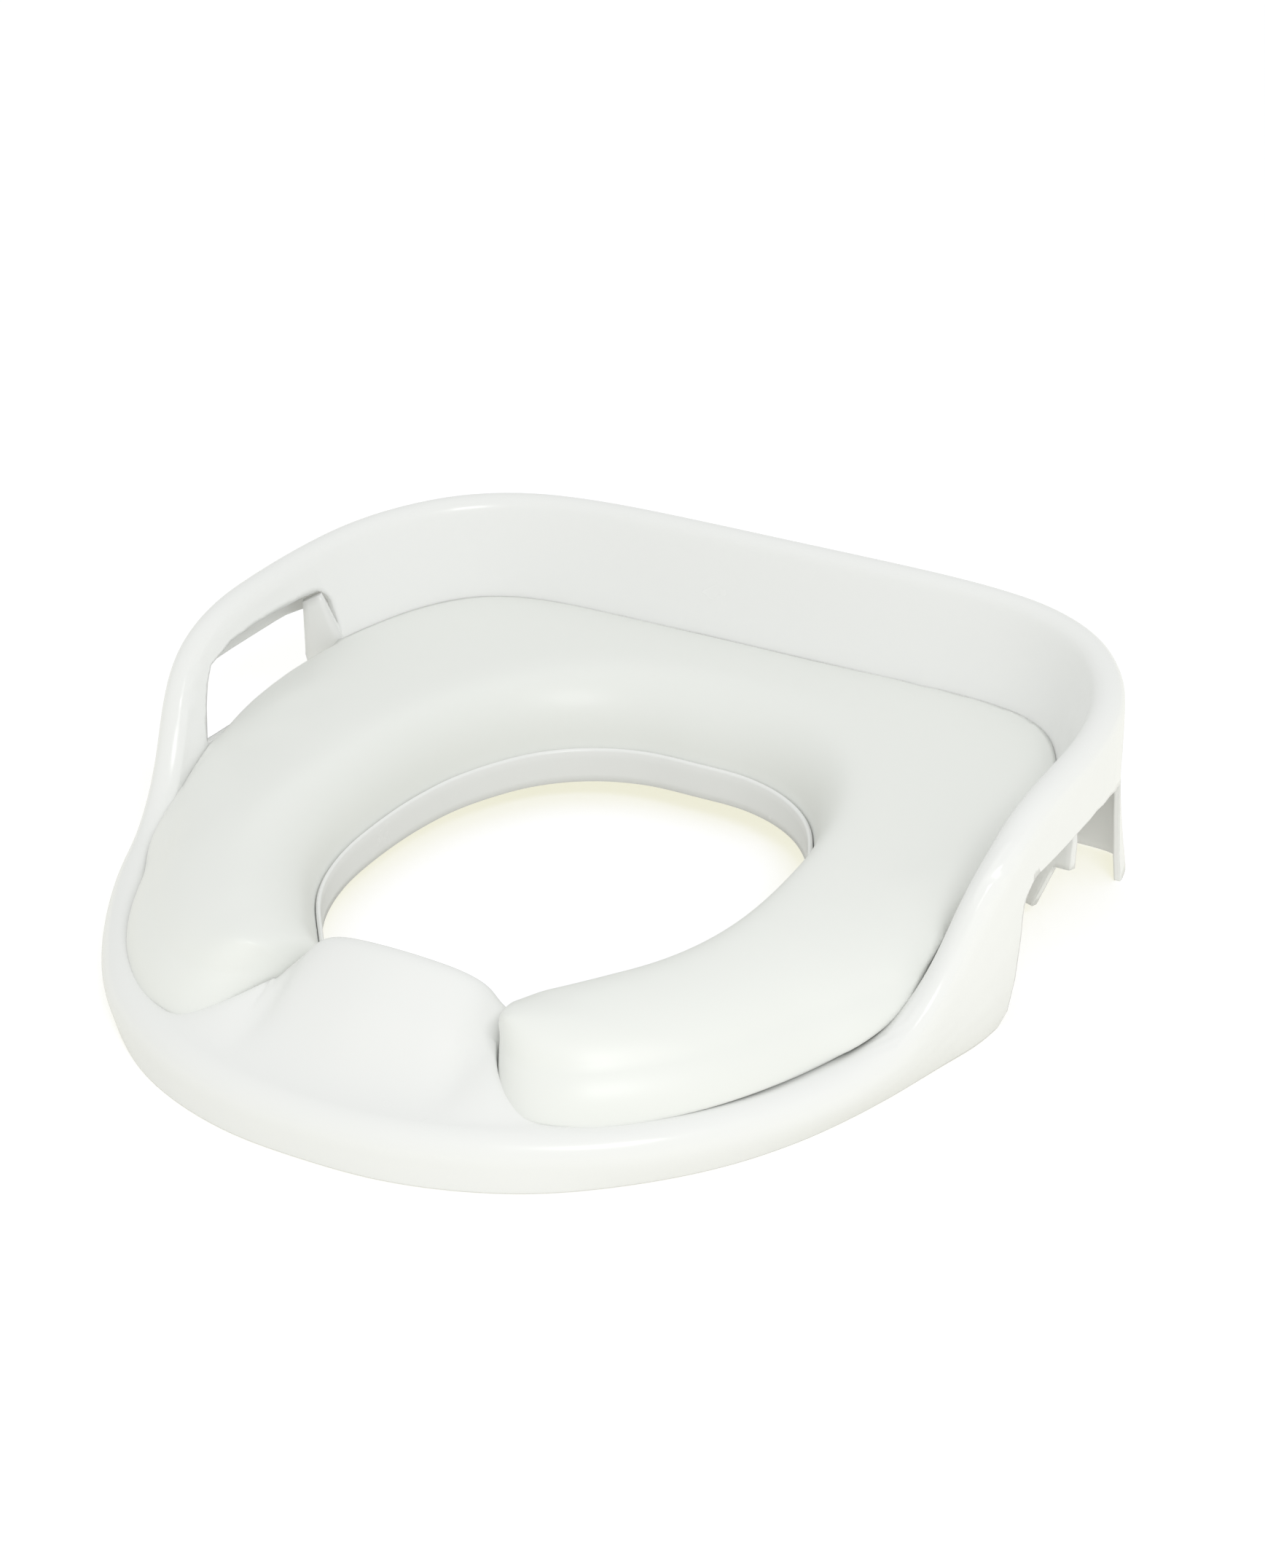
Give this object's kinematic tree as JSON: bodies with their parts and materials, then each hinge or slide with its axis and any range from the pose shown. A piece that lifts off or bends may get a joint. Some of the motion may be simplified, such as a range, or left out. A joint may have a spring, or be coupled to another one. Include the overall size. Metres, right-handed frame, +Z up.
{
  "type": "padded toilet trainer seat",
  "caption": "Child's toilet trainer seat: moulded frame with side handles and splash guard round a C-shaped foam pad with a large hole.",
  "frame": {"origin": "middle of the seat's width and depth, on the surface that it stands on", "axes": "+Z up, +Y towards the rear wall, +X to the right of a viewer in front of the seat"},
  "size_m": [0.403, 0.4095, 0.1034],
  "materials": {
    "frame": "semi-gloss moulded polypropylene, cool white",
    "pad": "satin skin of soft foam, slightly greyer and greener than the frame",
    "grip": "matte soft rubber"
  },
  "bodies": {
    "root": {"frame_shell": "frame", "seat_pad": "pad", "grip_block_front_left": "grip", "grip_block_front_right": "grip", "grip_block_rear_left": "grip", "grip_block_rear_right": "grip"}
  },
  "joints": []
}
